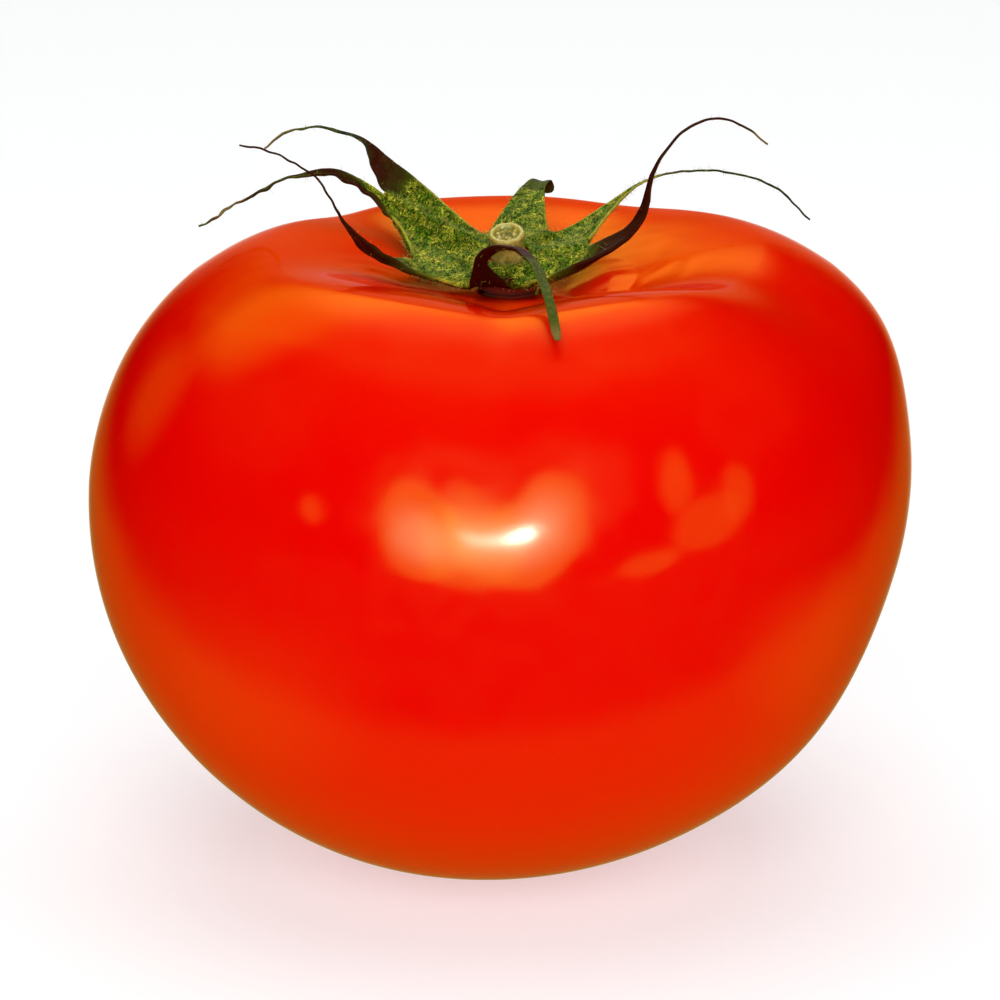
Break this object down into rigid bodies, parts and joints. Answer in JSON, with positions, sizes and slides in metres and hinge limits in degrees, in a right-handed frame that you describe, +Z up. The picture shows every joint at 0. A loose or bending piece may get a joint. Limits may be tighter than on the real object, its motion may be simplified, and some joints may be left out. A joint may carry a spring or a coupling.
{
  "type": "tomato",
  "caption": "Ripe lobed tomato with its green calyx and cut stem stub, standing on a small flat ring round its blossom end.",
  "frame": {"origin": "On the surface the fruit stands on, under the middle of its width and depth.", "axes": "+Z up along the stem, +X to the right across the fruit's widest diameter, -Y to the front, as the picture looks at it."},
  "size_m": [0.0798, 0.0766, 0.0738],
  "materials": {
    "skin": "smooth waxy red skin",
    "leaf": "matt hairy green leaf, drying brown at the tips",
    "stem": "yellow-green cut stem"
  },
  "bodies": {
    "root": {"fruit": "skin", "calyx": "leaf", "stem_stub": "stem"}
  },
  "joints": []
}
